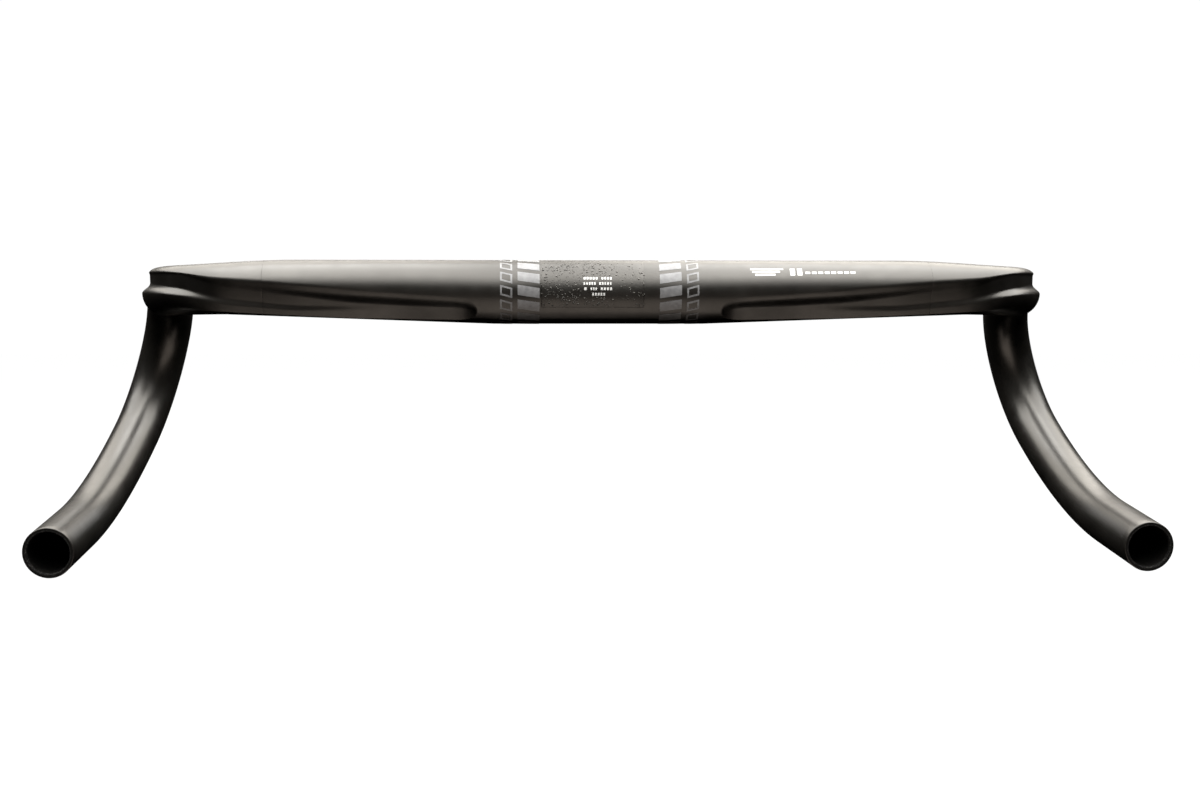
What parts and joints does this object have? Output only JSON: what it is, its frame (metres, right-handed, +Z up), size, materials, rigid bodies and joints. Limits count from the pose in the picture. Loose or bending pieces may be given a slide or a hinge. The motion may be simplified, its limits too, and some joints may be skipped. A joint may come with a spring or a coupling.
{
  "type": "drop handlebar",
  "caption": "Bicycle drop handlebar with a round stem clamp, rear cable channels, flared compact drops and open tube ends.",
  "frame": {"origin": "centre of the round stem clamp barrel, on its axis", "axes": "+X along the clamp axis to the rider's right, +Y forward in the riding direction, +Z up with the tops level"},
  "size_m": [0.5326, 0.1705, 0.1477],
  "materials": {
    "carbon": "satin warm black over carbon fibre",
    "sleeve_laminate": "bare moulded carbon fibre",
    "adhesive": "cured epoxy",
    "grip_coat": "gritty matt anti-slip lacquer",
    "silver_ink": "satin silver-grey print",
    "white_ink": "matt white print"
  },
  "bodies": {
    "root": {"tops_section": "carbon", "drop_section_left": "carbon", "drop_section_right": "carbon", "joint_sleeve_left": "sleeve_laminate", "joint_sleeve_right": "sleeve_laminate", "joint_adhesive_left": "adhesive", "joint_adhesive_right": "adhesive", "clamp_grip_coat": "grip_coat", "band_graphic_left": "silver_ink", "band_graphic_right": "silver_ink", "size_mark_panel": "white_ink", "tops_mark": "white_ink"}
  },
  "joints": []
}
